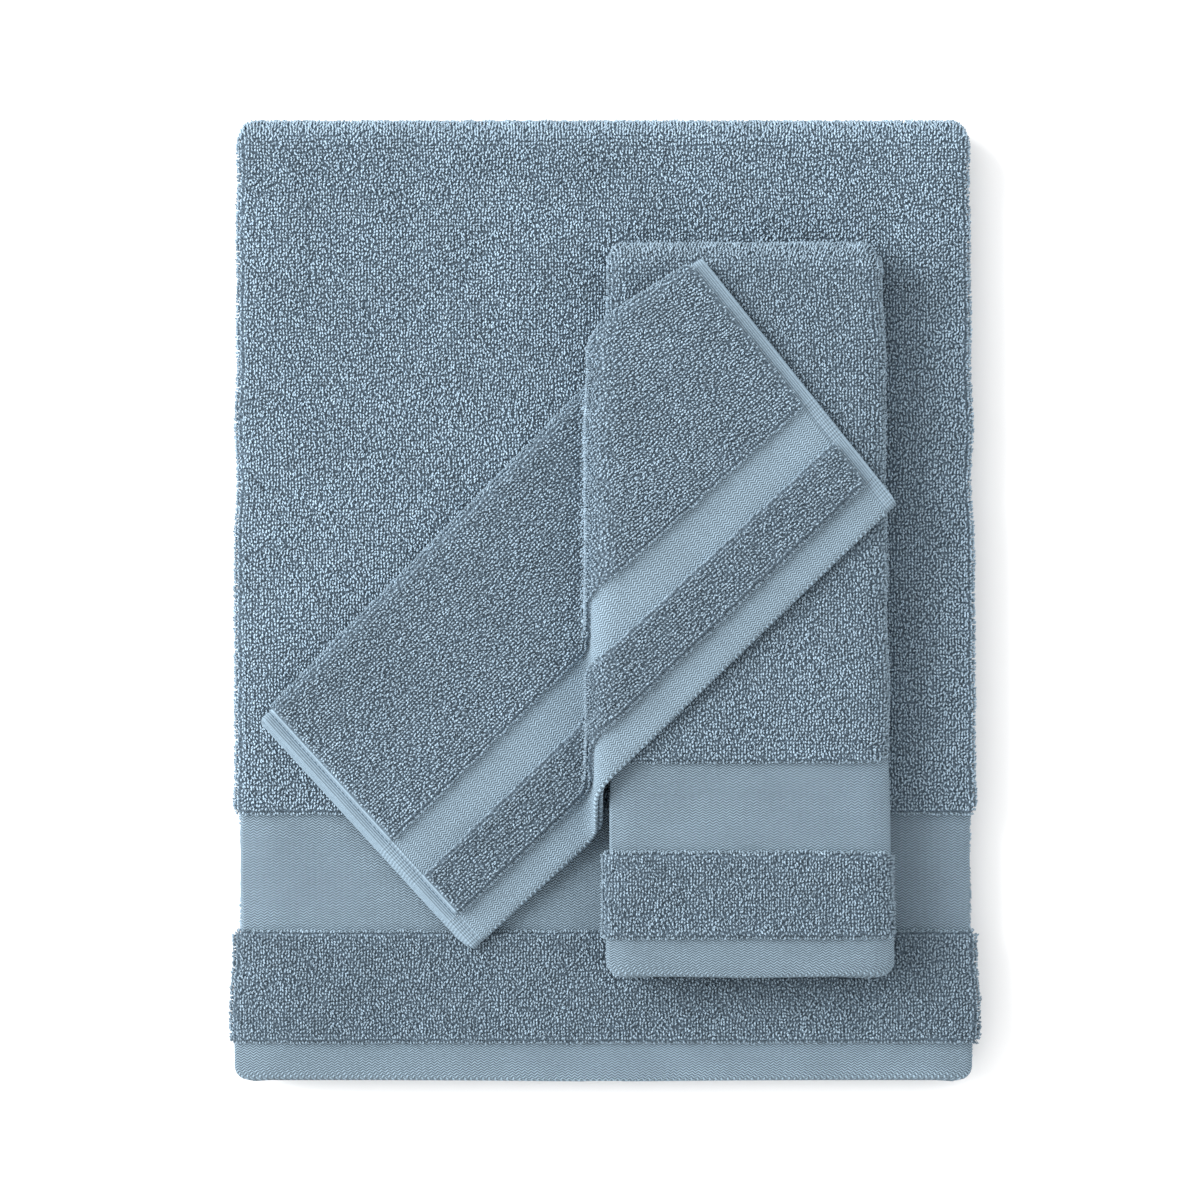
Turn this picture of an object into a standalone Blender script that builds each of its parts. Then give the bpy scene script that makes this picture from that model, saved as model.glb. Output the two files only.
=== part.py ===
"""Bath towel set: a folded bath towel, a folded hand towel on it and a washcloth draped over both.

Every towel is one woven cloth. Its plies, folded edges and weave zones are separate closed solids with a
small gap between them, laid out as the cloth is folded. Units are metres, +Z is up, and the stack rests on z = 0.
"""

import math

import bmesh
import bpy
import numpy as np

# Cloth
PLY_PITCH = 0.005
GAP = 0.0003
FLAT_WEAVE_THICKNESS = 0.0026
HEM_THICKNESS = 0.0031
EDGE_ROUNDING = 0.0012
THREAD_WIDTH = 0.0010
THREAD_HEIGHT = 0.0004
ARC_STEPS = 10

# Bath towel: both long sides folded to the middle, then folded in thirds
BATH_WIDTH = 0.3834
BATH_LENGTH = 0.4920
BATH_HEM = 0.0205
BATH_TERRY_BAND = 0.0544
BATH_DOBBY_BAND = 0.0630
BATH_FRONT_INSET = 0.0020
BATH_MEETING_GAP = 0.0040

# Hand towel: folded in thirds lengthways, then in half
HAND_WIDTH = 0.1467
HAND_LENGTH = 0.3766
HAND_HEM = 0.0210
HAND_TERRY_BAND = 0.0410
HAND_DOBBY_BAND = 0.0492
HAND_FRONT_INSET = 0.0020
HAND_SELVAGE_INSET = 0.0020
HAND_CENTRE_X = 0.0729
HAND_CENTRE_Y = -0.0054

# Washcloth: folded in half and draped across the hand towel's left side. Widths run across the folded strip,
# and plan places are measured from where the crease crosses the hand towel's left edge at its mid length: the
# folded edge's corners and crease, then how far each edge of the strip runs for each metre of cloth across it.
WASH_FOLD_ROLL = 0.0060
WASH_TERRY_FIELD = 0.0880
WASH_DOBBY_BAND = 0.0260
WASH_TERRY_BAND = 0.0250
WASH_HEM = 0.0200
WASH_SIDE_HEM = 0.0070
WASH_LOWER_PLY_SHOWS = 0.0035
WASH_SEAM_GAP = 0.0008
HINGE_CLEARANCE = 0.0028
TAIL_FOLD_CORNER = (-0.1780, -0.0554)
TAIL_END_EDGE = (0.66182, -0.72424)
TAIL_FOLD_CREASE = 0.1200
TAIL_CREASE_EDGE = -1.43636
TOP_FOLD_CREASE = 0.1483
TOP_CREASE_EDGE = -1.46788
TOP_FOLD_CORNER = (0.0477, 0.1808)
TOP_END_EDGE = (0.61212, -0.76606)
CREASE_SET_OFF = -0.0051

PLY = PLY_PITCH - GAP
ROLL_RADIUS = PLY_PITCH - GAP / 2
BATH_PLIES = 6
HAND_PLIES = 6
BATH_TOP = BATH_PLIES * PLY_PITCH
HAND_TOP = BATH_TOP + HAND_PLIES * PLY_PITCH
HAND_LEFT = HAND_CENTRE_X - HAND_WIDTH / 2
HAND_RIGHT = HAND_CENTRE_X + HAND_WIDTH / 2
HAND_FRONT = HAND_CENTRE_Y - HAND_LENGTH / 2
HAND_BACK = HAND_CENTRE_Y + HAND_LENGTH / 2
WASH_WIDTH = WASH_FOLD_ROLL + WASH_TERRY_FIELD + WASH_DOBBY_BAND + WASH_TERRY_BAND + WASH_HEM
HINGE_X = HAND_LEFT - 2 * PLY_PITCH - HINGE_CLEARANCE
HINGE_Z = BATH_TOP + 2 * PLY_PITCH - GAP

TERRY = ("terry_pile", (0.190, 0.270, 0.335), 0.95)
FLAT_WEAVE = ("flat_weave", (0.275, 0.365, 0.435), 0.85)
HEM = ("sewn_hem", (0.265, 0.355, 0.425), 0.85)
THREAD = ("hem_thread", (0.400, 0.490, 0.560), 0.70)


def start_empty():
    for obj in list(bpy.data.objects):
        bpy.data.objects.remove(obj, do_unlink=True)
    parts = bpy.data.collections.new("bath_towel_set")
    bpy.context.scene.collection.children.link(parts)
    return parts


def material_of(finish):
    name, colour, roughness = finish
    material = bpy.data.materials.get(name)
    if material is None:
        material = bpy.data.materials.new(name)
        material.use_nodes = True
        surface = material.node_tree.nodes["Principled BSDF"]
        surface.inputs["Base Color"].default_value = (*colour, 1.0)
        surface.inputs["Roughness"].default_value = roughness
        surface.inputs["Metallic"].default_value = 0.0
    return material


def add_object(parts, name, data, finish, place=(0.0, 0.0, 0.0), pivot=None):
    """Links a finished mesh or curve. A pivot is the empty of a moving piece, whose place the object's is given from."""
    data.materials.append(material_of(finish))
    obj = bpy.data.objects.new(name, data)
    parts.objects.link(obj)
    if pivot is not None:
        obj.parent = pivot
        place = [p - q for p, q in zip(place, pivot.location)]
    obj.location = place
    return obj


def add_pivot(parts, name, place):
    pivot = bpy.data.objects.new(name, None)
    pivot.location = place
    pivot.empty_display_size = 0.02
    parts.objects.link(pivot)
    return pivot


def slab(parts, name, x_span, y_span, z_span, finish, pivot=None, rounding=EDGE_ROUNDING):
    """A flat stretch of one ply: a box with rounded edges."""
    spans = np.array([x_span, y_span, z_span])
    mesh = bpy.data.meshes.new(name)
    box = bmesh.new()
    bmesh.ops.create_cube(box, size=1.0)
    bmesh.ops.scale(box, vec=spans[:, 1] - spans[:, 0], verts=box.verts)
    box.to_mesh(mesh)
    box.free()
    obj = add_object(parts, name, mesh, finish, spans.mean(axis=1), pivot)
    bevel = obj.modifiers.new("soft_edges", "BEVEL")
    bevel.width = min(rounding, 0.4 * float((spans[:, 1] - spans[:, 0]).min()))
    bevel.segments = 2
    bevel.limit_method = "ANGLE"
    return obj


def folded_edge(parts, name, turned, length, place, outer, inner, finish, pivot=None):
    """A ply turned back on itself: half a ring of cloth, or half a disc where inner is 0, extruded along the fold.

    turned is the way the fold bulges: "left", "right", "front" or "back".
    """
    swing = np.linspace(-math.pi / 2, math.pi / 2, ARC_STEPS + 1)
    outline = [(outer * math.cos(a), outer * math.sin(a)) for a in swing]
    if inner > 0:
        outline += [(inner * math.cos(a), inner * math.sin(a)) for a in swing[::-1]]
    curve = bpy.data.curves.new(name, "CURVE")
    curve.dimensions = "2D"
    curve.fill_mode = "BOTH"
    curve.extrude = length / 2
    spline = curve.splines.new("POLY")
    spline.points.add(len(outline) - 1)
    for point, (across, up) in zip(spline.points, outline):
        point.co = (across, up, 0.0, 1.0)
    spline.use_cyclic_u = True
    obj = add_object(parts, name, curve, finish, place, pivot)
    facing = {"right": 0.0, "back": math.pi / 2, "left": math.pi, "front": -math.pi / 2}
    obj.rotation_euler = (math.pi / 2, 0.0, facing[turned])
    return obj


def ply_span(base, level, plies=1):
    """Bottom and top of one ply, or of several, counted up from the stack's base."""
    return (base + level * PLY_PITCH, base + (level + plies) * PLY_PITCH - GAP)


def roll_height(base, level, plies):
    bottom, top = ply_span(base, level, plies)
    return (bottom + top) / 2


def weave_zones(parts, prefix, x_span, front, back, bottom, widths, pivot=None):
    """The face that shows: end hem, terry band, dobby band and terry field, from the front edge back."""
    hem, terry_band, dobby_band = widths
    thickness = {"end_hem": HEM_THICKNESS, "dobby_band": FLAT_WEAVE_THICKNESS}
    finish = {"end_hem": HEM, "dobby_band": FLAT_WEAVE}
    starts = {
        "end_hem": front,
        "terry_band": front + hem,
        "dobby_band": front + hem + terry_band,
        "terry_field": front + hem + terry_band + dobby_band,
    }
    ends = [*list(starts.values())[1:], back]
    for (zone, start), end in zip(starts.items(), ends):
        top = bottom + thickness.get(zone, PLY)
        near = start if zone == "end_hem" else start + GAP / 2
        far = end if zone == "terry_field" else end - GAP / 2
        slab(
            parts,
            f"{prefix}_{zone}",
            x_span,
            (near, far),
            (bottom, top),
            finish.get(zone, TERRY),
            pivot,
        )


def hem_thread(parts, name, x_span, front, hem, bottom, pivot=None):
    """The row of stitches that holds the hem, on its top just inside the terry band."""
    inset = 2 * THREAD_WIDTH
    y = front + hem - inset
    z = bottom + HEM_THICKNESS + GAP
    slab(
        parts,
        name,
        (x_span[0] + inset, x_span[1] - inset),
        (y - THREAD_WIDTH / 2, y + THREAD_WIDTH / 2),
        (z, z + THREAD_HEIGHT),
        THREAD,
        pivot,
        rounding=THREAD_HEIGHT / 4,
    )


def bath_towel(parts):
    half = BATH_WIDTH / 2
    front = -BATH_LENGTH / 2
    back_axis = BATH_LENGTH / 2 - (BATH_PLIES * PLY_PITCH - GAP) / 2
    front_axis = front + BATH_FRONT_INSET + (4 * PLY_PITCH - GAP) / 2
    x_span = (-half + ROLL_RADIUS + GAP, half - ROLL_RADIUS - GAP)
    flats = {
        "base": (front_axis + GAP, back_axis - GAP),
        "inner": (front_axis + GAP, back_axis - GAP),
        "outer": (front, back_axis - GAP),
    }
    face_level = {"base": 0, "inner": 3, "outer": 5}
    gate_level = {"base": 1, "inner": 2, "outer": 4}

    for panel in ("base", "inner"):
        z_span = ply_span(0.0, face_level[panel])
        slab(parts, f"bath_{panel}_face_ply", x_span, flats[panel], z_span, TERRY)
    outer_bottom = ply_span(0.0, face_level["outer"])[0]
    widths = (BATH_HEM, BATH_TERRY_BAND, BATH_DOBBY_BAND)
    weave_zones(parts, "bath_outer", x_span, *flats["outer"], outer_bottom, widths)
    hem_thread(parts, "bath_hem_thread", x_span, front, BATH_HEM, outer_bottom)

    for panel, y_span in flats.items():
        z_span = ply_span(0.0, gate_level[panel])
        meeting = BATH_MEETING_GAP / 2
        slab(parts, f"bath_{panel}_gate_ply_left", (x_span[0], -meeting), y_span, z_span, TERRY)
        slab(parts, f"bath_{panel}_gate_ply_right", (meeting, x_span[1]), y_span, z_span, TERRY)
        lower = min(face_level[panel], gate_level[panel])
        for side, sign in (("left", -1), ("right", 1)):
            place = (sign * (half - ROLL_RADIUS), sum(y_span) / 2, roll_height(0.0, lower, 2))
            folded_edge(
                parts,
                f"bath_{panel}_side_fold_{side}",
                side,
                y_span[1] - y_span[0],
                place,
                PLY_PITCH - GAP / 2,
                0.0,
                TERRY,
            )

    length = BATH_WIDTH - 2 * EDGE_ROUNDING
    back = (0.0, back_axis, roll_height(0.0, 0, 6))
    fold_front = (0.0, front_axis, roll_height(0.0, 0, 4))
    turns = (
        ("bath_back_fold_face", "back", back, 3),
        ("bath_back_fold_gate", "back", back, 2),
        ("bath_front_fold_face", "front", fold_front, 2),
        ("bath_front_fold_gate", "front", fold_front, 1),
    )
    for name, turned, place, pitches in turns:
        outer = pitches * PLY_PITCH - GAP / 2
        inner = outer - PLY if pitches > 1 else 0.0
        folded_edge(parts, name, turned, length, place, outer, inner, TERRY)


def hand_towel(parts):
    pivot = add_pivot(parts, "hand_towel_lift", (HAND_CENTRE_X, HAND_CENTRE_Y, BATH_TOP))
    back_axis = HAND_BACK - (HAND_PLIES * PLY_PITCH - GAP) / 2
    right_radius = (3 * PLY_PITCH - GAP) / 2
    x_span = (HAND_LEFT + ROLL_RADIUS + GAP, HAND_RIGHT - right_radius - GAP)
    cover_span = (HAND_LEFT + HAND_SELVAGE_INSET, x_span[1])
    upper = (HAND_FRONT, back_axis - GAP)
    lower = (HAND_FRONT + HAND_FRONT_INSET, back_axis - GAP)

    plies = (
        ("hand_lower_outer_ply", x_span, lower, 0),
        ("hand_lower_inner_flap_ply", x_span, lower, 1),
        ("hand_lower_cover_flap_ply", cover_span, lower, 2),
        ("hand_upper_cover_flap_ply", cover_span, lower, 3),
        ("hand_upper_inner_flap_ply", x_span, lower, 4),
    )
    for name, across, along, level in plies:
        slab(parts, name, across, along, ply_span(BATH_TOP, level), TERRY, pivot)
    face_bottom = ply_span(BATH_TOP, 5)[0]
    widths = (HAND_HEM, HAND_TERRY_BAND, HAND_DOBBY_BAND)
    weave_zones(parts, "hand_upper", x_span, *upper, face_bottom, widths, pivot)
    hem_thread(parts, "hand_hem_thread", x_span, HAND_FRONT, HAND_HEM, face_bottom, pivot)

    for half, y_span, left_level, right_level in (
        ("lower", lower, 0, 0),
        ("upper", upper, 4, 3),
    ):
        middle = sum(y_span) / 2
        length = y_span[1] - y_span[0]
        left = (HAND_LEFT + ROLL_RADIUS, middle, roll_height(BATH_TOP, left_level, 2))
        folded_edge(
            parts,
            f"hand_{half}_side_fold_left",
            "left",
            length,
            left,
            ROLL_RADIUS,
            0.0,
            TERRY,
            pivot,
        )
        right = (HAND_RIGHT - right_radius, middle, roll_height(BATH_TOP, right_level, 3))
        folded_edge(
            parts,
            f"hand_{half}_side_fold_right",
            "right",
            length,
            right,
            right_radius,
            right_radius - PLY,
            TERRY,
            pivot,
        )

    back = (HAND_CENTRE_X, back_axis, roll_height(BATH_TOP, 0, 6))
    for layer, pitches in (("outer", 3), ("middle", 2), ("inner", 1)):
        outer = pitches * PLY_PITCH - GAP / 2
        inner = outer - PLY if pitches > 1 else 0.0
        length = HAND_WIDTH - 2 * EDGE_ROUNDING
        name = f"hand_back_fold_{layer}"
        folded_edge(parts, name, "back", length, back, outer, inner, TERRY, pivot)


def edge_point(corner, edge, share):
    """The point at this share of the cloth's width along an edge that starts at the folded edge."""
    return np.array(corner) + np.array(edge) * WASH_WIDTH * share


def crease_x():
    return HAND_LEFT + CREASE_SET_OFF


def tail_point(share, x):
    """Where the strip's line at this share crosses x in plan, on the bath towel."""
    end = edge_point(TAIL_FOLD_CORNER, TAIL_END_EDGE, share) + (HAND_LEFT, HAND_CENTRE_Y)
    crease_y = edge_point(TAIL_FOLD_CREASE, TAIL_CREASE_EDGE, share) + HAND_CENTRE_Y
    slope = (crease_y - end[1]) / (crease_x() - end[0])
    return np.array([x, end[1] + slope * (x - end[0])])


def top_point(share, x):
    """The same, on top of the hand towel."""
    end = edge_point(TOP_FOLD_CORNER, TOP_END_EDGE, share) + (HAND_LEFT, HAND_CENTRE_Y)
    crease_y = edge_point(TOP_FOLD_CREASE, TOP_CREASE_EDGE, share) + HAND_CENTRE_Y
    slope = (end[1] - crease_y) / (end[0] - crease_x())
    return np.array([x, crease_y + slope * (x - crease_x())])


def pulled_in(line, share, end, inset):
    """The point of a strip line that lies inset from its end, towards the crease."""
    crease = line(share, crease_x())
    run = crease - end
    return end + run / np.linalg.norm(run) * inset


def strip_stations(leg, share, off, insets):
    """The points of one strip line: plan place and height, at a set distance off the surfaces that it lies on."""
    near, far = insets
    wall_x = HAND_LEFT - GAP - off
    low, high = BATH_TOP + off, HAND_TOP + off
    if leg == "tail":
        end = edge_point(TAIL_FOLD_CORNER, TAIL_END_EDGE, share) + (HAND_LEFT, HAND_CENTRE_Y)
        start = pulled_in(tail_point, share, end, near)
        if far is None:
            stop = tail_point(share, HINGE_X - WASH_SEAM_GAP / 2)
        else:
            stop = pulled_in(tail_point, share, end, far)
        return [(*start, low), (*stop, low)]
    end = edge_point(TOP_FOLD_CORNER, TOP_END_EDGE, share) + (HAND_LEFT, HAND_CENTRE_Y)
    if near is not None:
        start = pulled_in(top_point, share, end, near)
        return [(*start, high), (*pulled_in(top_point, share, end, far), high)]
    stop = pulled_in(top_point, share, end, far)
    return [
        (*tail_point(share, HINGE_X + WASH_SEAM_GAP / 2), low),
        (*tail_point(share, wall_x), low),
        (*top_point(share, wall_x), high),
        (*stop, high),
    ]


def strip(parts, name, leg, shares, middle, thickness, insets, finish, pivot):
    """A bent stretch of the washcloth: a grid whose middle keeps off the surfaces under it, made solid."""
    lines = [strip_stations(leg, s, middle, insets) for s in shares]
    points = np.array(lines) - np.array(pivot.location)
    mesh = bpy.data.meshes.new(name)
    sheet = bmesh.new()
    made = bmesh.ops.create_grid(
        sheet, x_segments=1, y_segments=points.shape[1] - 1, size=0.5
    )
    for vertex in made["verts"]:
        line = round(vertex.co.x + 0.5)
        station = round((vertex.co.y + 0.5) * (points.shape[1] - 1))
        vertex.co = points[line, station]
    bmesh.ops.recalc_face_normals(sheet, faces=sheet.faces)
    sheet.to_mesh(mesh)
    sheet.free()
    obj = add_object(parts, name, mesh, finish, tuple(pivot.location), pivot)
    solid = obj.modifiers.new("cloth_thickness", "SOLIDIFY")
    solid.thickness = thickness
    solid.offset = 0.0
    solid.use_even_offset = True
    solid.use_quality_normals = True
    bevel = obj.modifiers.new("soft_edges", "BEVEL")
    bevel.width = min(EDGE_ROUNDING, 0.3 * thickness) / 2
    bevel.segments = 1
    bevel.limit_method = "ANGLE"
    bevel.angle_limit = math.radians(60.0)


def washcloth(parts):
    top = add_pivot(parts, "washcloth_lift", (HAND_LEFT, HAND_CENTRE_Y, HAND_TOP))
    tail = add_pivot(parts, "washcloth_tail_hinge", (HINGE_X, HAND_CENTRE_Y, HINGE_Z))
    widths = {
        "fold_roll": WASH_FOLD_ROLL,
        "terry_field": WASH_TERRY_FIELD,
        "dobby_band": WASH_DOBBY_BAND,
        "terry_band": WASH_TERRY_BAND,
        "end_hem": WASH_HEM,
    }
    thickness = {
        "fold_roll": 2 * PLY_PITCH - GAP,
        "end_hem": HEM_THICKNESS,
        "dobby_band": FLAT_WEAVE_THICKNESS,
    }
    finish = {"end_hem": HEM, "dobby_band": FLAT_WEAVE}
    seam = WASH_SEAM_GAP / WASH_WIDTH
    edges = np.concatenate([[0.0], np.cumsum(list(widths.values())) / WASH_WIDTH])
    side_hem = WASH_SIDE_HEM + WASH_SEAM_GAP
    roll_middle = PLY_PITCH - GAP / 2
    ply_middle = {"lower": PLY / 2, "upper": PLY_PITCH + PLY / 2}
    across = {
        "upper": (edges[1] + seam, 1.0),
        "lower": (edges[1] + seam + ply_middle["lower"] / WASH_WIDTH, 1.0),
    }
    for leg, pivot in (("tail", tail), ("top", top)):
        peek = WASH_LOWER_PLY_SHOWS if leg == "tail" else 0.0
        for zone, start, stop in zip(widths, edges[:-1], edges[1:]):
            starts_at = start + (seam if start > 0 else 0.0)
            ends_at = stop - (seam if stop < edges[-1] else 0.0)
            begin = 0.0 if zone == "fold_roll" else side_hem
            begin += peek
            insets = (begin, None) if leg == "tail" else (None, begin)
            strip(
                parts,
                f"wash_{leg}_{zone}",
                leg,
                (starts_at, ends_at),
                roll_middle if zone == "fold_roll" else ply_middle["upper"],
                thickness.get(zone, PLY),
                insets,
                finish.get(zone, TERRY),
                pivot,
            )
        insets = (side_hem + peek, None) if leg == "tail" else (None, side_hem + peek)
        thread = np.array((1.5, 2.5)) * THREAD_WIDTH / WASH_WIDTH + edges[-2] + seam
        strip(
            parts,
            f"wash_{leg}_hem_thread",
            leg,
            thread,
            ply_middle["upper"] + HEM_THICKNESS / 2 + GAP + THREAD_HEIGHT / 2,
            THREAD_HEIGHT,
            insets,
            THREAD,
            pivot,
        )
        for ply, inset in (("upper", peek), ("lower", 0.0)):
            insets = (inset, inset + WASH_SIDE_HEM)
            strip(
                parts,
                f"wash_{leg}_side_hem_{ply}",
                leg,
                across[ply],
                ply_middle[ply],
                HEM_THICKNESS,
                insets,
                HEM,
                pivot,
            )
        insets = (side_hem, None) if leg == "tail" else (None, side_hem)
        middle = ply_middle["lower"]
        name = f"wash_{leg}_lower_ply"
        strip(parts, name, leg, across["lower"], middle, PLY, insets, TERRY, pivot)


def main():
    parts = start_empty()
    bath_towel(parts)
    hand_towel(parts)
    washcloth(parts)


main()
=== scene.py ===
"""Bath towel set: looped terry and flat woven cloth over the rigid stack."""

import math

import bpy
import numpy as np
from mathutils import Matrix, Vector


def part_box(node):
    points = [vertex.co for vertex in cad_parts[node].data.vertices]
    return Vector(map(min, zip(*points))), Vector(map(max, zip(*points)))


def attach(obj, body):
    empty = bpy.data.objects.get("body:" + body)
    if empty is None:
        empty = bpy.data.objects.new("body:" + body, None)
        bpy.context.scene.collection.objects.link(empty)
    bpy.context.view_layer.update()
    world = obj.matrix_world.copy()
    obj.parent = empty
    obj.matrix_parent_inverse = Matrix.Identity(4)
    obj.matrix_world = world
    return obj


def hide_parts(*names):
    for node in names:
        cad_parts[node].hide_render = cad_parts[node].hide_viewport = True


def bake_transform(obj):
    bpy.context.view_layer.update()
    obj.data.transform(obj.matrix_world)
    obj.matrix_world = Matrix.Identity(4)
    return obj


bl_info = {
    "name": "Bath towel set",
    "version": (1, 0, 0),
    "blender": (4, 5, 0),
    "location": "3D View > Sidebar > Towels",
    "description": "Makes a folded bath towel, hand towel and washcloth in looped terry",
    "category": "Object",
}

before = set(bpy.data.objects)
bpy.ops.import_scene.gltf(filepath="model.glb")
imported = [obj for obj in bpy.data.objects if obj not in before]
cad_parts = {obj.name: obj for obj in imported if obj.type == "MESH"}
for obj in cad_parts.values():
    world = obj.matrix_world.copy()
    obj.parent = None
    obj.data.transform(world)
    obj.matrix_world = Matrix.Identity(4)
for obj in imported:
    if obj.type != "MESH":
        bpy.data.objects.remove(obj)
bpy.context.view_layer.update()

MM = 0.001


def low(node, axis):
    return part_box(node)[0][axis]


def high(node, axis):
    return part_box(node)[1][axis]


# Places that the rigid stack gives
PLY_PITCH = low("bath_base_gate_ply_left", 2) - low("bath_base_face_ply", 2)
BATH_TOP = low("hand_lower_outer_ply", 2)
HAND_TOP = BATH_TOP + 6 * PLY_PITCH
BATH_FRONT = low("bath_outer_end_hem", 1)
BATH_BACK = high("bath_back_fold_face", 1)
BATH_HALF = high("bath_outer_side_fold_right", 0)
BATH_HEM = high("bath_outer_end_hem", 1) - BATH_FRONT
BATH_BAND = high("bath_outer_terry_band", 1) - BATH_FRONT
BATH_DOBBY = high("bath_outer_dobby_band", 1) - BATH_FRONT
BATH_FOLD_FRONT = low("bath_front_fold_face", 1)
HAND_FRONT = low("hand_upper_end_hem", 1)
HAND_BACK = high("hand_back_fold_outer", 1)
HAND_LEFT = low("hand_upper_side_fold_left", 0)
HAND_RIGHT = high("hand_upper_side_fold_right", 0)
HAND_HEM = high("hand_upper_end_hem", 1) - HAND_FRONT
HAND_BAND = high("hand_upper_terry_band", 1) - HAND_FRONT
HAND_DOBBY = high("hand_upper_dobby_band", 1) - HAND_FRONT
HAND_CENTRE_Y = (HAND_FRONT + HAND_BACK) / 2
ROLL = PLY_PITCH / 2
HALF_PLY = (high("bath_base_face_ply", 2) - low("bath_base_face_ply", 2)) / 2

# The washcloth's corners in plan, from the hand towel's left edge at its mid length: at its folded edge, then
# at its hem
TAIL_END = ((-0.1780, -0.0554), (-0.0688, -0.1749))
TAIL_AT_CREASE = (0.1200, -0.1170)
TOP_AT_CREASE = (0.1483, -0.0939)
TOP_END = ((0.0477, 0.1808), (0.1487, 0.0544))
CREASE_X = HAND_LEFT - 0.0051
WASH_WIDTH = 0.1650
WASH_LENGTH = 0.3350
SIDE_HEM = 4.6 * MM
SIDE_STRIP = 7.0 * MM
LOWER_PLY_SHOWS = 1.6 * MM
LOWER_PLY_FADE = 60 * MM
LOWER_HEM_INSET = 2.8 * MM
LIP = 0.25 * MM
GROOVE = 0.35 * MM
GROOVE_WIDTH = 1.6 * MM
HEM_THINNER = 1.9 * MM
DOBBY_THINNER = 0.9 * MM
INNER_BEND = 7 * MM
HAND_CORNER = 5 * MM
GAP = 0.3 * MM

# Where the washcloth's weave changes, as shares of its width from the folded edge
WASH_ROLL_SHARE = 0.036
WASH_FIELD_SHARE = 0.570
WASH_DOBBY_SHARE = 0.727
WASH_BAND_SHARE = 0.879

# Heights of the cloth's two faces from its middle, by weave: outer face, inner face
TERRY_GROUND = (0.85 * MM, 2.20 * MM)
FLAT_GROUND = (0.35 * MM, 1.40 * MM)
HEM_GROUND = (0.75 * MM, 1.60 * MM)
BURIED_GROUND = 2.20 * MM

# Lightness of the loops in the band between the dobby band and the hem, darker than on the field: painted
# shade
BAND_PAINTED_LIGHTNESS = 0.47

# How a folded towel's top goes over into its weave zones and edges
ZONE_RAMP = 0.7 * MM
FLAT_SQUEEZE = 0.85
FLAT_DROP = 0.7 * MM
HEM_OVERHANG = 0.6 * MM
SOFT_SIDE = 24 * MM
SOFT_END = 9 * MM
SOFT_BACK = 30 * MM
HEM_CALM = 20 * MM
TOP_MARGIN = 1 * MM

# Lengths of the slow waves of a folded towel's top, of its edges and of the washcloth
TOP_WAVE_LENGTH = 90 * MM
EDGE_WAVE_LENGTH = 70 * MM
WASH_WAVE_LENGTH = 80 * MM

# Slots of a sheet's materials, in the order of cloth_materials
GROUND, FLAT, HEM, CELLS, SIDE_SEAM, LADDER = range(6)
YARN, THREAD = 6, 7


# ---------------------------------------------------------------- settings


def length_property(name, description, default):
    return bpy.props.FloatProperty(
        name=name, description=description, default=default, unit="LENGTH", precision=5
    )


def colour_property(name, description, default):
    return bpy.props.FloatVectorProperty(
        name=name, description=description, default=default, size=3, subtype="COLOR", min=0.0, max=1.0
    )


class TowelPile(bpy.types.PropertyGroup):
    """Sizes of the terry loops."""

    row_pitch: length_property("Row pitch", "Distance between rows of loops", 1.6 * MM)
    loop_pitch: length_property("Loop pitch", "Distance between loops in a row", 1.55 * MM)
    loop_height: length_property("Loop height", "Height of a loop over the ground cloth", 1.9 * MM)
    loop_spread: length_property("Loop spread", "Distance between a loop's two feet", 0.70 * MM)
    loop_lean: length_property("Loop lean", "How far a loop's top lies to one side", 0.55 * MM)
    yarn_radius: length_property("Yarn radius", "Radius of the pile yarn", 0.50 * MM)


class TowelShape(bpy.types.PropertyGroup):
    """How the folded cloths lie."""

    corner_radius: length_property("Corner radius", "Rounding of the folded corners", 4.5 * MM)
    hem_corner_radius: length_property("Hem corner radius", "Rounding of the corners at the hem", 7.5 * MM)
    surface_wave: length_property("Surface wave", "Height of the slow waves in the cloth", 0.45 * MM)
    side_drop: length_property("Side drop", "How far the top sinks towards a side fold", 3.2 * MM)
    end_drop: length_property("End drop", "How far the top sinks towards the hem", 1.6 * MM)
    edge_wave: length_property("Edge wave", "How far the folded edges wander", 0.6 * MM)
    bath_left_drift: length_property("Bath towel left drift", "Left edge's lean at the back", 2.0 * MM)
    bath_right_drift: length_property("Bath towel right drift", "Right edge's lean at the back", 5.2 * MM)
    hand_right_drift: length_property("Hand towel right drift", "Right edge's lean at the back", 4.1 * MM)


class TowelColours(bpy.types.PropertyGroup):
    """Colours of the cloth and the floor."""

    yarn: colour_property("Pile yarn", "Loops of the terry", (0.390, 0.518, 0.625))
    # The ground cloth's colour, set darker than the flat weave's of the same dye: painted shade under the
    # loops
    ground: colour_property("Ground cloth", "Weave between the loops", (0.152, 0.210, 0.264))
    flat: colour_property("Flat weave", "Dobby bands", (0.190, 0.260, 0.318))
    hem: colour_property("Hem", "End and side hems", (0.190, 0.260, 0.318))
    thread: colour_property("Thread", "Stitching of the hems", (0.300, 0.375, 0.440))
    floor: colour_property("Floor", "Floor under the towels", (0.90, 0.90, 0.90))


# ---------------------------------------------------------------- shapes


def smooth_field(x, y, wavelength, seed, waves=7):
    """A slow random height, about -1 to 1: the sum of sines that run in seeded directions."""
    rng = np.random.default_rng(seed)
    directions = rng.uniform(0, 2 * math.pi, waves)
    phases = rng.uniform(0, 2 * math.pi, waves)
    stretches = rng.uniform(0.7, 1.4, waves)
    total = 0.0
    for direction, phase, stretch in zip(directions, phases, stretches):
        run = (x * math.cos(direction) + y * math.sin(direction)) / (wavelength * stretch)
        total = total + np.sin(2 * math.pi * run + phase)
    return total / math.sqrt(waves)


def smooth_step(value, start, end):
    """0 before start, 1 after end, and 3t^2 - 2t^3 between them."""
    t = np.clip((value - start) / (end - start), 0.0, 1.0)
    return t * t * (3 - 2 * t)


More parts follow.
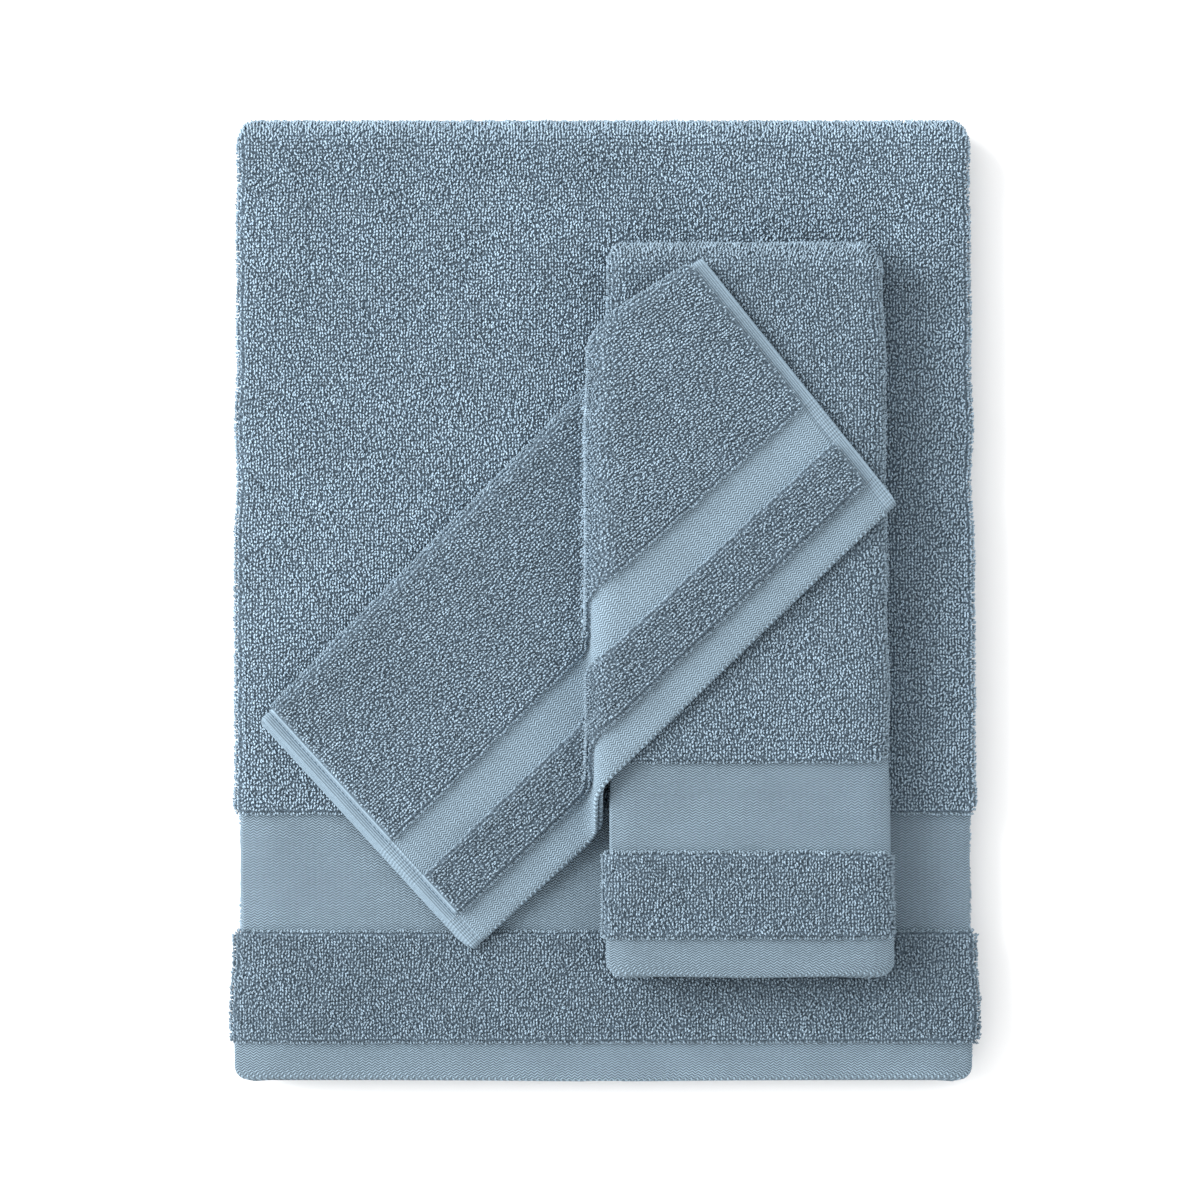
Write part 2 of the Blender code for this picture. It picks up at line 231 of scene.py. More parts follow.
def past(value, mark, ramp):
    """0 before the mark and 1 after it, over a ramp to each side of it."""
    return smooth_step(value, mark - ramp, mark + ramp)


def between(value, start, end, ramp):
    """1 between two marks and 0 outside them, over a ramp to each side of each."""
    return past(value, start, ramp) * (1 - past(value, end, ramp))


def corner_inset(beyond, radius):
    """How far a round corner draws back, b past the start of its rounding: r - sqrt(r^2 - b^2)."""
    return radius - np.sqrt(radius**2 - np.clip(beyond, 0.0, radius) ** 2)


def half_wave(distance, width):
    """A hump of this width: the cosine of the distance from its middle, 1 there and 0 at its sides."""
    return np.cos(np.clip(distance / width, -0.5, 0.5) * math.pi)


def unit(vectors):
    return vectors / np.maximum(np.linalg.norm(vectors, axis=-1, keepdims=True), 1e-12)


def straight(start, end, *more):
    """Two points of a line; each further pair gives one more column's value at its two ends."""
    return np.array([[*start, *(pair[0] for pair in more)], [*end, *(pair[1] for pair in more)]])


def arc(centre, radius, start, end, steps=61):
    """Points on a circle from one angle to another, in degrees."""
    angle = np.radians(np.linspace(start, end, steps))
    return np.stack([centre[0] + radius * np.cos(angle), centre[1] + radius * np.sin(angle)], axis=1)


def facing(points, normal):
    """The points with the normal's two columns added: one for all, or one for each."""
    return np.hstack([points, np.broadcast_to(normal, (len(points), 2))])


def measured(*stretches):
    """Distance run along joined stretches by their first two columns, beside the rows themselves."""
    rows = np.concatenate(stretches)
    steps = np.linalg.norm(np.diff(rows[:, :2], axis=0), axis=1)
    rows = rows[np.concatenate([[True], steps > 1e-9])]
    steps = np.linalg.norm(np.diff(rows[:, :2], axis=0), axis=1)
    return np.concatenate([[0.0], np.cumsum(steps)]), rows


def read(table, distance):
    """The columns of a measured line at these distances."""
    run, rows = table
    return [np.interp(distance, run, rows[:, k]) for k in range(rows.shape[1])]


def ends_of(*stretches):
    """Distance from the start at which each stretch ends."""
    lengths = [np.linalg.norm(np.diff(part[:, :2], axis=0), axis=1).sum() for part in stretches]
    return np.cumsum(lengths)


def refined(*stretches):
    """Values through these (start, end, count) stretches, without repeats."""
    return np.unique(np.concatenate([np.linspace(a, b, n) for a, b, n in stretches]).round(7))


class FoldedTowel:
    """A cloth folded lengthways by its section and crossways by its path.

    A point at u across and v along the cloth lies at path(v) + normal(v) * rise(u), between the left and
    right edges, and v is counted from the hem that shows. The insets draw both edges in at the dobby band, at
    the hem, at the band of loops between them and under the top.
    """

    def __init__(self, section, rolls, path, zones, edges, insets, bottom, painted_lightness, seed):
        self.section = measured(*section)
        self.path = measured(*path)
        self.u_ends = ends_of(*section)
        self.v_ends = ends_of(*path)
        self.rolls = rolls
        self.zones = zones
        self.edges = edges
        self.insets = insets
        self.bottom = bottom
        # Painted light and shade: a lightness for the flat weave, then one for the loops, which make the one
        # dye of the three cloths lighter or darker from cloth to cloth
        self.painted_lightness = painted_lightness
        self.seed = seed
        self.width = self.u_ends[-1]
        self.length = self.v_ends[-1]
        self.top_rise = self.section[1][:, 1].max()

    def flatness(self, u, v):
        """Shares of hem and of flat weave at u, v; the rest is terry."""
        hem, band, dobby = self.zones
        from_end = np.minimum(v, self.length - v) + 0 * u
        return 1 - past(from_end, hem, ZONE_RAMP), between(from_end, band, dobby, ZONE_RAMP)

    def buried(self, u, v):
        """1 where other plies hide the outer face, 0 where pile stands on it."""
        _, rise, side, _ = read(self.section, u)
        inside = smooth_step(1 - np.abs(side), 0.01, 0.05)
        on_top = rise >= self.top_rise - TOP_MARGIN
        front_fold = (v > self.v_ends[2]) & (v < self.v_ends[3]) if len(self.v_ends) > 3 else False
        return inside * np.maximum(~on_top, v > self.v_ends[1]) * ~(front_fold & on_top)

    def place(self, u, v):
        """The point of the cloth's middle at u, v."""
        shape = bpy.context.scene.towel_shape
        _, rise, side, bulge = read(self.section, u)
        y, z, out_y, out_z = read(self.path, v)
        on_hem, on_dobby = self.flatness(u, v)
        flat = np.maximum(on_hem, on_dobby)
        squeeze = 1 - (1 - FLAT_SQUEEZE) * flat
        left, right = self.inset_edges(y, v, on_hem, on_dobby)
        from_end = np.minimum(v, self.length - v)
        end_inset = corner_inset(shape.hem_corner_radius - from_end, shape.hem_corner_radius)
        x = left + end_inset + (right - left - 2 * end_inset) * (side + 1) / 2 + bulge * squeeze
        radius = shape.corner_radius
        beyond = np.abs(x - (left + right) / 2) - ((right - left) / 2 + self.rolls[0] - radius)
        from_back = smooth_step(self.v_ends[0] - v, 0.0, SOFT_BACK)
        wave = shape.surface_wave * smooth_field(x, y, TOP_WAVE_LENGTH, self.seed)
        wave = wave * (1 - smooth_step(v, self.v_ends[0] - SOFT_BACK, self.v_ends[0]))
        wave = wave * smooth_step(v, 0.0, HEM_CALM)
        wave = wave - self.edge_drop(v, side, right - left) * from_back
        edge = shape.edge_wave * smooth_field(y + 3 * z, z, EDGE_WAVE_LENGTH, self.seed + 9)
        edge = edge * side * (from_end > radius)
        y = y + out_y * (rise * squeeze - corner_inset(beyond, radius))
        z = z + out_z * (rise * squeeze - FLAT_DROP * flat) + wave * out_z
        return np.stack(np.broadcast_arrays(x + edge, y, z), axis=-1)

    def inset_edges(self, y, v, on_hem, on_dobby):
        """Left and right edges of the cloth's middle, drawn in by each zone's share of its insets."""
        left, right = self.edges(y)
        hem, band, _ = self.zones
        under = smooth_step(v, self.v_ends[0], self.v_ends[1])
        on_band = between(v, hem, band, ZONE_RAMP)
        shares = (on_dobby * (1 - under), on_hem * (1 - under), on_band, under)
        left = left + HALF_PLY + self.rolls[0] + sum(k * pair[0] for k, pair in zip(shares, self.insets))
        right = right - HALF_PLY - self.rolls[1] - sum(k * pair[1] for k, pair in zip(shares, self.insets))
        return left, right

    def edge_drop(self, v, side, width):
        """How far the top sinks: the larger of two squares, which grow towards a side fold and the hem."""
        shape = bpy.context.scene.towel_shape
        size = width / (2 * BATH_HALF)
        from_side = (1 - np.abs(side)) * width / 2
        near_side = np.clip(1 - from_side / (SOFT_SIDE * size), 0, 1) ** 2 * shape.side_drop * size**0.5
        near_end = np.clip(1 - v / SOFT_END, 0, 1) ** 2 * shape.end_drop
        return np.maximum(near_side, near_end)

    def weft_first(self, u, v):
        """The distance along the weft, then the one along the warp."""
        return u, v

    def faces(self, u, v):
        """Heights of the outer and inner face from the cloth's middle."""
        return face_heights(self, u, v)

    def slots(self, u, v, outer):
        """Material slot of a face: ground under pile, flat weave, hem, or terry without pile."""
        on_hem, on_dobby = self.flatness(u, v)
        return np.select([on_hem > 0.5, on_dobby > 0.5], [HEM, FLAT], terry_slot(self, u, v, outer))


class DrapedCloth:
    """The washcloth: folded once along its length and draped over the hand towel's left edge.

    Across the cloth, u runs along the lower ply, round the fold and back on the upper ply. Along it, v runs
    on a straight line over the bath towel, up the hand towel's side and on over its top; share tells which.
    """

    def __init__(self, seed):
        half = HALF_PLY + ROLL
        lower = straight((WASH_WIDTH - LOWER_HEM_INSET, -ROLL), (half, -ROLL))
        upper = straight((half, ROLL), (WASH_WIDTH - HEM_GROUND[0], ROLL))
        fold = arc((half, 0.0), ROLL, 270, 90)
        self.section = measured(lower, fold, upper)
        self.u_ends = ends_of(lower, fold, upper)
        self.width = self.u_ends[-1]
        self.length = WASH_LENGTH
        self.bottom = -1.0
        # Painted light and shade of the washcloth: its flat weave lighter than the other cloths', then its
        # loops
        self.painted_lightness = (1.17, 0.66)
        self.seed = seed
        wall = HAND_LEFT - GAP
        foot = (wall - PLY_PITCH - INNER_BEND, BATH_TOP + PLY_PITCH + INNER_BEND)
        brow = (wall + HAND_CORNER, HAND_TOP - HAND_CORNER)
        rising = arc(foot, INNER_BEND, 270, 360)
        turning = arc(brow, HAND_CORNER + PLY_PITCH, 180, 90)
        bends = ends_of(rising, straight(rising[-1], turning[0]), turning)
        self.foot_x, self.brow_x, self.bend_length = foot[0], brow[0], bends[-1]
        reach = 0.4
        away = (np.array(foot) - rising) / INNER_BEND
        out = (turning - np.array(brow)) / (HAND_CORNER + PLY_PITCH)
        self.profile = measured(
            facing(straight((foot[0] - reach, foot[1] - INNER_BEND), rising[0]), (0, 1)),
            facing(rising, away),
            facing(turning, out),
            facing(straight(turning[-1], (brow[0] + reach, turning[-1][1])), (0, 1)),
        )
        self.profile_start = reach

    def share(self, u):
        return read(self.section, u)[0] / WASH_WIDTH

    def upper(self, u):
        """0 on the lower ply, 1 on the upper ply."""
        return smooth_step(read(self.section, u)[1], -ROLL, ROLL)

    def flatness(self, u, v):
        """Shares of hem and of flat weave at u, v; the rest is terry."""
        share = self.share(u)
        ramp = ZONE_RAMP / WASH_WIDTH
        on_side = 1 - past(np.minimum(v, self.length - v), SIDE_STRIP, ZONE_RAMP)
        on_dobby = between(share, WASH_FIELD_SHARE, WASH_DOBBY_SHARE, ramp)
        return np.maximum(past(share, WASH_BAND_SHARE, ramp), on_side), on_dobby * (1 - on_side)

    def buried(self, u, v):
        inside = smooth_step(self.share(u), WASH_ROLL_SHARE, 1.5 * WASH_ROLL_SHARE)
        return inside * (u < self.u_ends[0]) + 0 * v

    def place(self, u, v):
        """The point of the cloth's middle at u, v."""
        shape = bpy.context.scene.towel_shape
        across, rise = read(self.section, u)
        share = across / WASH_WIDTH
        upper = self.upper(u)
        v = v + LOWER_PLY_SHOWS * upper * (1 - smooth_step(v, 0.0, LOWER_PLY_FADE))

        def line_at(at_fold, at_hem):
            return at_fold + (at_hem - at_fold) * share

        def corner_at(ends):
            along_x, along_y = zip(*ends)
            return HAND_LEFT + line_at(*along_x), HAND_CENTRE_Y + line_at(*along_y)

        tail_x, tail_y = corner_at(TAIL_END)
        top_x, top_y = corner_at(TOP_END)
        tail_crease = HAND_CENTRE_Y + line_at(*TAIL_AT_CREASE)
        top_crease = HAND_CENTRE_Y + line_at(*TOP_AT_CREASE)
        foot_y = tail_y + (tail_crease - tail_y) * (self.foot_x - tail_x) / (CREASE_X - tail_x)
        brow_y = top_y + (top_crease - top_y) * (self.brow_x - top_x) / (CREASE_X - top_x)
        tail = np.hypot(self.foot_x - tail_x, foot_y - tail_y)
        bend = np.hypot(self.bend_length, brow_y - foot_y)
        top = np.hypot(top_x - self.brow_x, top_y - brow_y)
        run = v * (tail + bend + top) / self.length
        on_tail = np.clip(run / tail, 0, 1)
        on_bend = np.clip((run - tail) / bend, 0, 1)
        on_top = np.clip((run - tail - bend) / top, 0, 1)
        distance = (
            (tail_x - self.foot_x)
            + (self.foot_x - tail_x) * on_tail
            + self.bend_length * on_bend
            + (top_x - self.brow_x) * on_top
        )
        y = tail_y + (foot_y - tail_y) * on_tail + (brow_y - foot_y) * on_bend + (top_y - brow_y) * on_top
        x, z, out_x, out_z = read(self.profile, self.profile_start + distance)
        on_hem, on_dobby = self.flatness(u, v)
        stack = PLY_PITCH - HEM_THINNER * on_hem - DOBBY_THINNER * on_dobby
        height = stack + rise * stack / PLY_PITCH - PLY_PITCH
        height = height + shape.surface_wave * smooth_field(x, y, WASH_WAVE_LENGTH, self.seed) * upper
        return np.stack(np.broadcast_arrays(x + out_x * height, y, z + out_z * height), axis=-1)

    def weft_first(self, u, v):
        """The distance along the weft, then the one along the warp."""
        return v, u

    def faces(self, u, v):
        """Heights of the two faces, with a lip along both side hems and a groove where they are sewn."""
        outer, inner = face_heights(self, u, v)
        from_end = np.minimum(v, self.length - v) + 0 * u
        lip = LIP * half_wave(from_end - SIDE_HEM / 2, SIDE_HEM)
        groove = GROOVE * half_wave(from_end - SIDE_HEM - 0.5 * MM, GROOVE_WIDTH)
        return outer + lip - groove, inner

    def slots(self, u, v, outer):
        """Material slot of a face, with the side hems, ribbed across where they cross a flat weave."""
        on_hem, on_dobby = self.flatness(u, v)
        share = self.share(u)
        crossed = (share > WASH_BAND_SHARE) | ((share > WASH_FIELD_SHARE) & (share < WASH_DOBBY_SHARE))
        sewn = np.minimum(v, self.length - v) < SIDE_STRIP
        return np.select(
            [sewn & crossed, sewn, on_hem > 0.5, on_dobby > 0.5],
            [LADDER, SIDE_SEAM, HEM, FLAT],
            terry_slot(self, u, v, outer),
        )


def terry_slot(cloth, u, v, outer):
    """Slot of terry: the ground where loops stand, and cells on the inner face and where plies hide it."""
    return np.where((cloth.buried(u, v) > 0.5) | (not outer), CELLS, GROUND)


def face_heights(cloth, u, v):
    """Heights of the outer and inner face from the cloth's middle: a mix of the weaves' own heights."""
    on_hem, on_dobby = cloth.flatness(u, v)
    terry_out = TERRY_GROUND[0] + (BURIED_GROUND - TERRY_GROUND[0]) * cloth.buried(u, v)
    heights = []
    for terry, flat, hem in zip((terry_out, TERRY_GROUND[1]), FLAT_GROUND, HEM_GROUND):
        heights.append(terry + (flat - terry) * on_dobby + (hem - terry) * on_hem)
    return heights


def frames(towel, u, v, step=0.2 * MM):
    """Place, outward normal and direction across the cloth at u, v, by differences of the surface."""
    across = towel.place(u + step, v) - towel.place(u - step, v)
    along = towel.place(u, v + step) - towel.place(u, v - step)
    return towel.place(u, v), unit(np.cross(across, along)), unit(across)


# ---------------------------------------------------------------- meshes

NO_TRIANGLES = np.zeros((0, 3), int)


def mesh_object(name, points, quads, triangles, uv=None, slots=None):
    """An object at the origin from arrays of corners, with a uv for each point and a slot for each face."""
    mesh = bpy.data.meshes.new(name)
    corners = np.concatenate([quads.ravel(), triangles.ravel()]).astype(np.int32)
    starts = np.concatenate([np.arange(len(quads)) * 4, 4 * len(quads) + np.arange(len(triangles)) * 3])
    mesh.vertices.add(len(points))
    mesh.vertices.foreach_set("co", points.astype(np.float32).ravel())
    mesh.loops.add(len(corners))
    mesh.loops.foreach_set("vertex_index", corners)
    mesh.polygons.add(len(starts))
    mesh.polygons.foreach_set("loop_start", starts.astype(np.int32))
    if slots is not None:
        mesh.polygons.foreach_set("material_index", slots.astype(np.int32))
    mesh.polygons.foreach_set("use_smooth", np.ones(len(starts), bool))
    if uv is not None:
        layer = mesh.uv_layers.new(name="cloth")
        layer.uv.foreach_set("vector", uv[corners].astype(np.float32).ravel())
    mesh.update(calc_edges=True)
    mesh.validate()
    obj = bpy.data.objects.new(name, mesh)
    bpy.context.scene.collection.objects.link(obj)
    return obj


def point_attribute(obj, name, values):
    attribute = obj.data.attributes.new(name, "FLOAT", "POINT")
    attribute.data.foreach_set("value", values.astype(np.float32).ravel())


def cloth_sheet(name, towel, u, v):
    """One closed sheet: the outer and inner face of the cloth over a u, v grid, joined by a rounded rim.

    Each face lies at middle + normal * height, and the rim's middle line stands out by half the thickness.
    """
    grid_u, grid_v = np.meshgrid(u, v, indexing="ij")
    middle, normal, _ = frames(towel, grid_u, grid_v)
    outer, inner = towel.faces(grid_u, grid_v)
    count_u, count_v = grid_u.shape
    index = np.arange(count_u * count_v).reshape(count_u, count_v)
    cells = np.stack([index[:-1, :-1], index[1:, :-1], index[1:, 1:], index[:-1, 1:]], axis=-1)
    cells = cells.reshape(-1, 4)
    rim = np.concatenate([index[:-1, 0], index[-1, :-1], index[:0:-1, -1], index[0, :0:-1]])
    inside_u = np.clip(np.arange(count_u), 1, count_u - 2)
    inside_v = np.clip(np.arange(count_v), 1, count_v - 2)
    inside = index[np.ix_(inside_u, inside_v)].ravel()
    flat_middle = middle.reshape(-1, 3)
    away = unit(flat_middle[rim] - flat_middle[inside[rim]])
    thickness = (outer + inner).ravel()[rim][:, None]
    centre = flat_middle + normal.reshape(-1, 3) * ((outer - inner) / 2).reshape(-1, 1)
    edge = centre[rim] + away * thickness / 2
    outside = (middle + normal * outer[..., None]).reshape(-1, 3)
    underside = (middle - normal * inner[..., None]).reshape(-1, 3)
    points = np.concatenate([outside, underside, edge])
    total = index.size
    following = np.roll(np.arange(len(rim)), -1)
    edge_index = 2 * total + np.arange(len(rim))
    edge_next = edge_index[following]
    upper_rim = np.stack([rim[following], rim, edge_index, edge_next], axis=1)
    lower_rim = np.stack([edge_next, edge_index, total + rim, total + rim[following]], axis=1)
    quads = np.concatenate([cells, total + cells[:, ::-1], upper_rim, lower_rim])
    flat_u, flat_v = grid_u.ravel(), grid_v.ravel()
    uv = np.stack(towel.weft_first(flat_u, flat_v), axis=1)
    uv = np.concatenate([uv, uv, uv[rim]])
    cell_u, cell_v = flat_u[cells].mean(axis=1), flat_v[cells].mean(axis=1)
    rim_slots = towel.slots(flat_u[rim], flat_v[rim], False)
    face_slots = [towel.slots(cell_u, cell_v, outer) for outer in (True, False)]
    slots = np.concatenate([*face_slots, rim_slots, rim_slots])
    obj = mesh_object(name, points, quads, NO_TRIANGLES, uv, slots)
    # Painted light and shade: the cloth's flat-weave lightness, which its weave materials multiply into their
    # colour
    point_attribute(obj, "cloth_painted_light", np.full(len(points), towel.painted_lightness[0]))
    return obj


MOST_LOOPS = 16000
# How uneven the loops are: in place as shares of their pitch, in direction in radians, and in size as a share
LOOP_JITTER = 0.13
ROW_JITTER = 0.25
TURN_SWING = 0.4
TURN_JITTER = 0.65
NAP_SWINGS = (0.8, 1.2)
NAP_SPREAD = 0.7
HEIGHT_JITTER = 0.22
SHADE_SPREAD = 0.13
# Lengths over which the loops' turn, nap, patches and clumps change
TURN_LENGTH = 8 * MM
NAP_LENGTHS = (120 * MM, 9 * MM)
PATCH_LENGTH = 40 * MM
CLUMP_LENGTH = 7 * MM
# An arch's faces by its eight points: a foot, two rings of three, a foot
ARCH_QUADS = np.array([[1, 2, 5, 4], [2, 3, 6, 5], [3, 1, 4, 6]])
ARCH_TRIANGLES = np.array([[0, 2, 1], [0, 3, 2], [0, 1, 3], [7, 4, 5], [7, 5, 6], [7, 6, 4]])
# Painted shade along an arch, by its eight points: darkest at the feet, lighter on the lower ring, lightest
# on the higher ring
ARCH_PAINTED_SHADE = np.array([0.0, 0.9, 0.9, 0.9, 1.0, 1.0, 1.0, 0.0])
# From foot to foot of a loop: place between the feet, rise and lean
LOOP_SPREAD = np.array([-0.5, -0.5, 0.5, 0.5])
LOOP_RISE = np.array([-0.25, 0.80, 1.0, -0.25])
LOOP_LEAN = np.array([0.0, 0.80, 1.0, 0.15])


def yarn_arches(name, feet, tops, side, radii, shade):
    """Arches of yarn, one for each row: a point at each foot, and two three-sided rings where it turns.

    A ring lies at its top's centre, square to the line from one foot over both tops to the other.
    """
    count = len(feet)
    path = np.stack([feet[:, 0], tops[:, 0], tops[:, 1], feet[:, 1]], axis=1)
    run = unit(path[:, 2:] - path[:, :2])
    across = side[:, None, :]
    first = unit(across - run * (run * across).sum(axis=-1, keepdims=True))
    second = np.cross(run, first)
    turn = 2 * math.pi * np.arange(3) / 3
    ring = first[:, :, None] * np.cos(turn)[:, None] + second[:, :, None] * np.sin(turn)[:, None]
    rings = tops[:, :, None, :] + ring * radii[:, :, None, None]
    points = np.concatenate([feet[:, :1], rings.reshape(count, 6, 3), feet[:, 1:]], axis=1)
    first_point = (np.arange(count) * 8)[:, None, None]
    quads = (ARCH_QUADS[None] + first_point).reshape(-1, 4)
    triangles = (ARCH_TRIANGLES[None] + first_point).reshape(-1, 3)
    obj = mesh_object(name, points.reshape(-1, 3), quads, triangles)
    # Each loop's tone and painted lightness along its arch, with painted shade at its feet
    point_attribute(obj, "yarn_tone_and_painted_shade", shade[:, None] * ARCH_PAINTED_SHADE)
    return obj


def face_run(towel, u, v, axis):
    """True length along the outer face, from the first point of the grid on this axis."""
    middle, normal, _ = frames(towel, u, v)
    face = middle + normal * towel.faces(u, v)[0][..., None]
    steps = np.linalg.norm(np.diff(face, axis=axis), axis=-1)
    start = np.zeros_like(steps.take([0], axis=axis))
    return np.concatenate([start, np.cumsum(steps, axis=axis)], axis=axis)


def pile_feet(towel, u_span, v_span, rng):
    """u, v of every loop: rows at the row pitch, loops in a row at the loop pitch, both of true length."""
    pile = bpy.context.scene.towel_pile
    dense_v = np.linspace(*v_span, 400)
    middle_u = np.full_like(dense_v, (u_span[0] + u_span[1]) / 2)
    length = face_run(towel, middle_u, dense_v, 0)
    rows = max(1, round(length[-1] / pile.row_pitch))
    v_rows = np.interp((np.arange(rows) + 0.5) * length[-1] / rows, length, dense_v)
    row_step = np.gradient(v_rows) if rows > 1 else np.full(1, v_span[1] - v_span[0])
    dense_u = np.linspace(*u_span, 500)
    run = face_run(towel, *np.meshgrid(dense_u, v_rows, indexing="ij"), 0)
    found = []
    for row in range(rows):
        loops = max(1, int(run[-1, row] / pile.loop_pitch))
        at = (np.arange(loops) + 0.5 + rng.uniform(-LOOP_JITTER, LOOP_JITTER, loops)) * run[-1, row] / loops
        u = np.interp(at, run[:, row], dense_u)
        v = v_rows[row] + rng.uniform(-ROW_JITTER, ROW_JITTER, loops) * row_step[row]
        found.append(np.stack([u, np.clip(v, *v_span)], axis=1))
    return np.concatenate(found)


def terry_pile(name, towel, spans, seed):
    """Pieces of terry: each loop is an arch of yarn that leans with a slow drift of the nap."""
    pile = bpy.context.scene.towel_pile
    rng = np.random.default_rng(seed)
    stretches = [pile_feet(towel, u_span, v_span, rng) for u_span, v_span, _ in spans]
    feet = np.concatenate(stretches)
    painted_lightness = np.repeat([light for _, _, light in spans], [len(part) for part in stretches])
    root, normal, across = frames(towel, feet[:, 0], feet[:, 1])
    root = root + normal * towel.faces(feet[:, 0], feet[:, 1])[0][:, None]
    lowest = root[:, 2] + np.minimum(normal[:, 2], 0.0) * 1.4 * pile.loop_height
    clear = lowest > towel.bottom + pile.yarn_radius
    root, normal, across, painted_lightness = root[clear], normal[clear], across[clear], painted_lightness[clear]
    count = len(root)
    along = np.cross(normal, across)
    x, y, z = root.T
    turn = TURN_SWING * smooth_field(x, y, TURN_LENGTH, seed + 1)
    turn = turn + rng.uniform(-TURN_JITTER, TURN_JITTER, count)
    heading = along * np.cos(turn)[:, None] + across * np.sin(turn)[:, None]
    nap = NAP_SWINGS[0] * smooth_field(x + z, y, NAP_LENGTHS[0], towel.seed + 2)
    nap = nap + NAP_SWINGS[1] * smooth_field(x, y, NAP_LENGTHS[1], towel.seed + 4)
    nap = nap + rng.normal(0.0, NAP_SPREAD, count)
    lean = across * np.cos(nap)[:, None] + along * np.sin(nap)[:, None]
    patch = smooth_field(x + z, y, PATCH_LENGTH, towel.seed + 3)
    clump = smooth_field(x, y, CLUMP_LENGTH, towel.seed + 5)
    uneven = rng.uniform(-HEIGHT_JITTER, HEIGHT_JITTER, count)
    height = pile.loop_height * (1 + 0.04 * patch + 0.08 * clump + uneven)
    spread = pile.loop_spread * rng.uniform(0.75, 1.25, count)
    reach = pile.loop_lean * (1 + 0.15 * patch) * rng.uniform(0.3, 1.6, count)
    centres = (
        root[:, None, :]
        + (heading * spread[:, None])[:, None, :] * LOOP_SPREAD[:, None]
        + (normal * height[:, None])[:, None, :] * LOOP_RISE[:, None]
        + (lean * reach[:, None])[:, None, :] * LOOP_LEAN[:, None]
    )
    side = unit(np.cross(normal, heading))
    radii = pile.yarn_radius * rng.uniform(0.85, 1.15, (count, 2))
    # Each loop's lightness: the span's painted lightness, painted light on the taller patches and clumps, and
    # a random tone of its own
    shade = painted_lightness + 0.03 * patch + 0.05 * clump + rng.normal(0.0, SHADE_SPREAD, count)
    shade = np.clip(shade, 0.0, 1.1)
    feet, tops = centres[:, ::3], centres[:, 1:3]
    pieces = np.array_split(np.arange(count), max(1, math.ceil(count / MOST_LOOPS)))
    return [
        yarn_arches(f"{name}_{k + 1}", feet[part], tops[part], side[part], radii[part], shade[part])
        for k, part in enumerate(pieces)
    ]


# A stitch: its pitch, its thread's radius and shade, and from foot to foot its place and its rise
STITCH_PITCH = 3.0 * MM
STITCH_RADIUS = 0.26 * MM
STITCH_SHADE = 0.7
STITCH_PLACES = np.array([0.12, 0.36, 0.64, 0.88])
STITCH_RISE = np.array([-0.10, 0.22, 0.22, -0.10]) * MM


def stitches(name, towel, runs):
    """Short arches of thread along lines of u, v on the cloth's outer face; each run is (start, end)."""
    centres, sides = [], []
    for start, end in runs:
        start, end = np.array(start), np.array(end)
        count = int(np.linalg.norm(end - start) / STITCH_PITCH)
        at = (np.arange(count)[:, None] + STITCH_PLACES) / count
        places = start + (end - start) * at[..., None]
        middle, normal, _ = frames(towel, places[..., 0], places[..., 1])
        lift = towel.faces(places[..., 0], places[..., 1])[0][..., None]
        line = middle + normal * (lift + STITCH_RISE[:, None])
        centres.append(line)
        sides.append(unit(np.cross(normal[:, 1], line[:, -1] - line[:, 0])))
    centres, sides = np.concatenate(centres), np.concatenate(sides)
    radii = np.full((len(centres), 2), STITCH_RADIUS)
    shade = np.full(len(centres), STITCH_SHADE)
    return yarn_arches(name, centres[:, ::3], centres[:, 1:3], sides, radii, shade)


# ---------------------------------------------------------------- materials

SPECULAR = 0.15
SHEEN_ROUGHNESS = 0.5
SHEEN_TINT = (0.60, 0.80, 0.96, 1.0)
TWILL_SLOPE = 1.7
TWILL_DRIFT = 9 * MM
LINE_PITCH = 1.2 * MM


